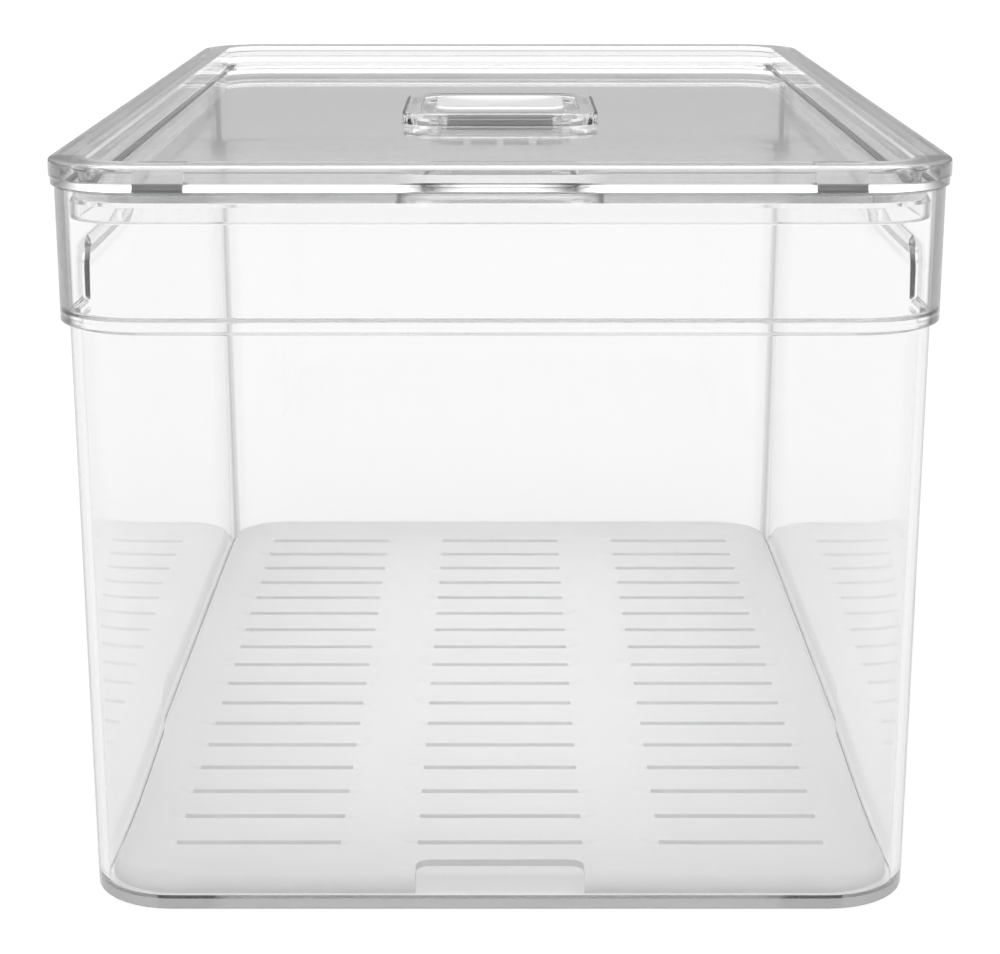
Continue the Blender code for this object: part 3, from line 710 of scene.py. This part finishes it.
def make_drain_tray():
    foot, low = TRAY_LOW[2], TRAY_TOP - TRAY_T
    hx, hy = TRAY_HIGH[0], TRAY_HIGH[1]
    edge_x, edge_y = hx - TRAY_HX, hy - TRAY_HY
    rings = [plan_ring(TRAY_HX - 1.6 * MM, TRAY_HY - 1.6 * MM, TRAY_R - 3.6 * MM, low),
             plan_ring(TRAY_HX, hy - 3 * MM, TRAY_R - 2 * MM, low - MM),
             plan_ring(hx - 1.6 * MM, hy - 1.7 * MM, TRAY_R - 1.6 * MM, foot),
             plan_ring(hx - 0.2 * MM, hy - 0.2 * MM, TRAY_R, foot),
             plan_ring(hx, hy, TRAY_R, foot + 0.3 * MM)]
    for k in range(1, EDGE_STEPS + 1):
        a = math.radians(90 * k / EDGE_STEPS)
        rise = foot + 0.3 * MM + (TRAY_TOP - foot - 0.3 * MM) * math.sin(a)
        rings.append(plan_ring(hx - edge_x * (1 - math.cos(a)), hy - edge_y * (1 - math.cos(a)) ** 0.9,
                               TRAY_R - 1.5 * MM * k / EDGE_STEPS, rise))
    bm = bmesh.new()
    loops = skin(bm, rings, cap=False)
    tops, slots = [], []
    for c in range(COLS):
        for r in range(ROWS):
            cx, cy = (c - (COLS - 1) / 2) * COL_PITCH, (r - (ROWS - 1) / 2) * ROW_PITCH
            outline, slot = louvre(bm, cx, cy)
            tops.append(outline)
            slots.append(slot)
    fill_plane(bm, [loops[-1]] + tops, 1)
    fill_plane(bm, [loops[0]] + slots, -1)
    tray = make_object(bm, "drain_tray_moulding")
    ribs = bmesh.new()
    for x in (-COL_PITCH / 2, COL_PITCH / 2):
        block(ribs, x - RIB_HALF_W, x + RIB_HALF_W, -RIB_HALF_L, RIB_HALF_L, foot, low + 0.6 * MM)
    apply_tool(tray, ribs, 'UNION')
    notch = bmesh.new()
    r = 3.5 * MM
    edge = -TRAY_HY + NOTCH_DEEP
    pts = [(-NOTCH_HALF, -hy - 3 * MM), (NOTCH_HALF, -hy - 3 * MM)]
    pts += arc_points(NOTCH_HALF - r, edge - r, r, 0, 90, 6)
    pts += arc_points(r - NOTCH_HALF, edge - r, r, 90, 180, 6)
    skin(notch, [[(x, y, z) for x, y in pts] for z in (foot - MM, TRAY_TOP + 3 * MM)])
    apply_tool(tray, notch, 'DIFFERENCE')
    return tray


# ---- studio ----------------------------------------------------------------------------------
def make_studio():
    """White lit floor, and a sky that is dim near the horizon and bright overhead."""
    bm = bmesh.new()
    reach = 30.0
    corners = ((-reach, -reach), (reach, -reach), (reach, reach), (-reach, reach))
    bm.faces.new([bm.verts.new((x, y, -0.0002)) for x, y in corners])
    floor = make_object(bm, "studio_floor")
    m = Nodes("studio_white")
    m.bsdf.inputs["Base Color"].default_value = (0.12, 0.12, 0.12, 1)
    m.bsdf.inputs["Roughness"].default_value = 1.0
    m.bsdf.inputs["Specular IOR Level"].default_value = 0.0
    m.bsdf.inputs["Emission Color"].default_value = (1, 1, 1, 1)
    m.bsdf.inputs["Emission Strength"].default_value = 0.86
    floor.data.materials.append(m.mat)

    world = bpy.data.worlds.new("studio")
    bpy.context.scene.world = world
    world.use_nodes = True
    tree = world.node_tree
    place = tree.nodes.new("ShaderNodeTexCoord")
    split = tree.nodes.new("ShaderNodeSeparateXYZ")
    ramp = tree.nodes.new("ShaderNodeValToRGB")
    stops = ramp.color_ramp.elements
    stops[0].position, stops[0].color = 0.13, (0.175, 0.175, 0.175, 1)
    stops[1].position, stops[1].color = 0.95, (1.0, 1.0, 1.0, 1)
    for height, level in ((0.32, 0.40), (0.62, 0.80)):
        stops.new(height).color = (level, level, level, 1)
    back = tree.nodes["Background"]
    tree.links.new(place.outputs["Generated"], split.inputs["Vector"])
    tree.links.new(split.outputs["Z"], ramp.inputs["Fac"])
    tree.links.new(ramp.outputs["Color"], back.inputs["Color"])
    back.inputs["Strength"].default_value = 2.4


def make_camera():
    data = bpy.data.cameras.new("camera")
    cam = bpy.data.objects.new("camera", data)
    bpy.context.scene.collection.objects.link(cam)
    data.sensor_width, data.lens = 36.0, CAMERA_LENS
    data.clip_start, data.clip_end = 0.01, 100.0
    width = 2 * LID_HX
    cam.location = (0.0, -CAMERA_BACK * width, CAMERA_UP * width)
    cam.rotation_euler = (math.radians(90 - CAMERA_TILT), 0.0, 0.0)
    bpy.context.scene.camera = cam


def main():
    make_camera()
    make_studio()
    scene = bpy.context.scene
    scene.view_settings.view_transform = 'Standard'
    scene.cycles.max_bounces = scene.cycles.transmission_bounces = 128
    scene.cycles.glossy_bounces, scene.cycles.diffuse_bounces = 128, 8
    # the last two numbers of each clear plastic are its face-on and edge-on tints; the lower edge-on tint
    # of the lid and cup is painted shade
    dress(make_bin_body(), "bin_body", "bin",
          clear_plastic("bin_plastic", 1.0, 0.94, 0.94, shade=bin_shade))
    dress(make_lid(), "lid", "lid_assembly",
          clear_plastic("lid_plastic", 1.0, 0.955, 0.80, shade=lid_shade))
    dress(make_vent_cup(), "vent_cup", "lid_assembly",
          clear_plastic("cup_plastic", 4.0, 0.85, 0.80))
    dress(make_vent_knob(), "vent_knob", "knob",
          clear_plastic("knob_plastic", 4.0, 0.72, 0.72, rough=(0.08, 0.18), milk=0.90))
    dress(make_vent_seal(), "vent_seal", "knob", silicone("seal_rubber"))
    dress(make_drain_tray(), "drain_tray", "tray", frosted_plastic("tray_plastic"))


main()
